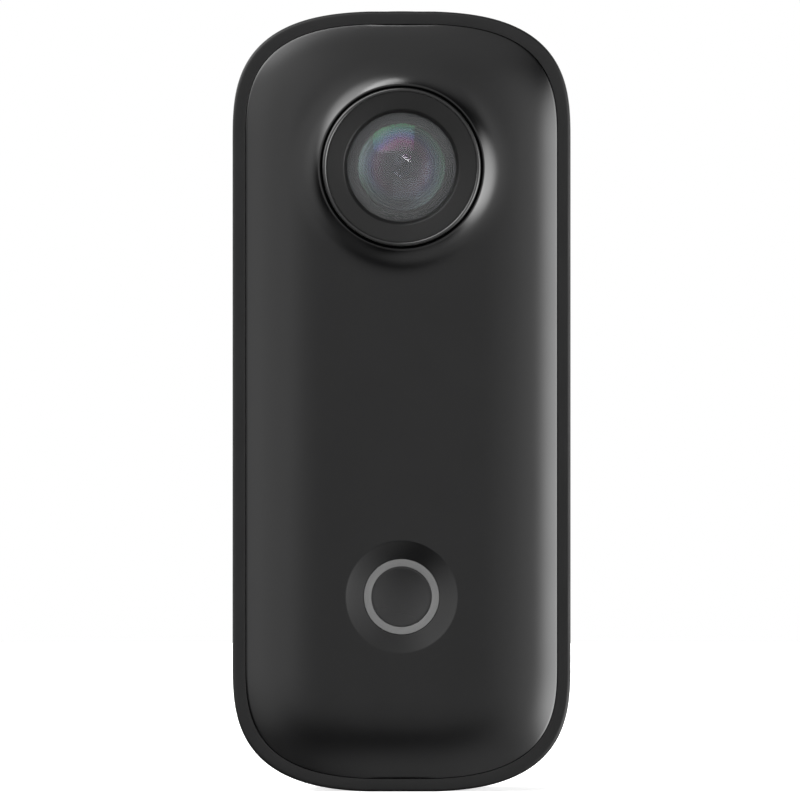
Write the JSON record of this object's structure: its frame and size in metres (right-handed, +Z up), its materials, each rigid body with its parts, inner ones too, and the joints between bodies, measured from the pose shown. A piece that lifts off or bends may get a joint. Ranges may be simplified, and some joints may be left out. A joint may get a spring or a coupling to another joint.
{
  "type": "action camera",
  "caption": "Thumb-size upright action camera: crowned front with a collared lens, ring-lit shutter button, top mode button, hinged port door and magnetic back plate.",
  "frame": {"origin": "on the base at the middle of the footprint, the bottom centre of the bounding box", "axes": "+Z up along the camera's length, the lens faces -Y, the magnetic back faces +Y, +X is on the right of someone facing the lens"},
  "size_m": [0.026, 0.019, 0.0601],
  "materials": {
    "panel_gloss": "satin-gloss moulded black",
    "case_matte": "fine-grained matte black",
    "button_gloss": "satin black",
    "light_ring": "translucent grey diffuser",
    "anodised": "black anodised satin",
    "steel": "plain",
    "optics": "coated",
    "rubber": "matte",
    "board": "solder mask",
    "chip": "moulded black",
    "foil": "laminated foil",
    "flex": "amber film",
    "lead_red": "insulation",
    "white_plastic": "moulded white"
  },
  "bodies": {
    "camera": {"case_body": "case_matte", "rear_cover": "case_matte", "front_panel": "panel_gloss", "panel_gasket": "rubber", "case_gasket": "rubber", "case_screw_1": "steel", "case_screw_2": "steel", "case_screw_3": "steel", "case_screw_4": "steel", "rear_plate": "steel", "magnet_lower": "steel", "magnet_upper": "steel", "lens_bezel": "anodised", "lens_seal_ring": "rubber", "front_element": "optics", "lens_barrel": "anodised", "second_element": "optics", "aperture_stop": "anodised", "third_element": "optics", "rear_element": "optics", "lens_holder": "chip", "ir_filter": "optics", "image_sensor": "chip", "sensor_board": "board", "sensor_flex": "flex", "shutter_switch": "steel", "shutter_seal": "rubber", "ring_led_left": "white_plastic", "ring_led_right": "white_plastic", "mode_switch": "steel", "mode_board": "board", "main_board": "board", "board_screw_left": "steel", "board_screw_right": "steel", "processor_chip": "chip", "memory_chip": "chip", "wireless_shield": "steel", "power_inductor": "chip", "microphone": "steel", "wireless_antenna": "flex", "speaker": "chip", "battery": "foil", "battery_pad": "rubber", "battery_connector": "white_plastic", "battery_lead_red": "lead_red", "battery_lead_black": "rubber", "charge_port_shell": "steel", "charge_port_tongue": "chip", "port_board": "board", "card_slot": "steel", "door_hinge_pin": "steel"},
    "shutter": {"shutter_cap": "button_gloss", "shutter_light_ring": "light_ring", "shutter_carrier": "case_matte", "shutter_plunger": "white_plastic"},
    "mode_button": {"mode_cap": "button_gloss", "mode_plunger": "white_plastic"},
    "door": {"port_door": "case_matte", "door_gasket": "rubber"},
    "card": {"memory_card": "chip"}
  },
  "joints": [
    {"name": "shutter_press", "type": "slide", "parent": "camera", "child": "shutter", "axis": [0, 1, 0], "range_m": [0, 0.0003], "stiffness_N_per_m": 800},
    {"name": "mode_press", "type": "slide", "parent": "camera", "child": "mode_button", "axis": [0, 0, -1], "range_m": [0, 0.0003], "stiffness_N_per_m": 800},
    {"name": "door_swing", "type": "hinge", "parent": "camera", "child": "door", "pos_m": [0, 0.0082, 0.0076], "axis": [-1, 0, 0], "range_deg": [0, 90]},
    {"name": "card_slide", "type": "slide", "parent": "camera", "child": "card", "axis": [0, 0, -1], "range_m": [0, 0.004]}
  ]
}
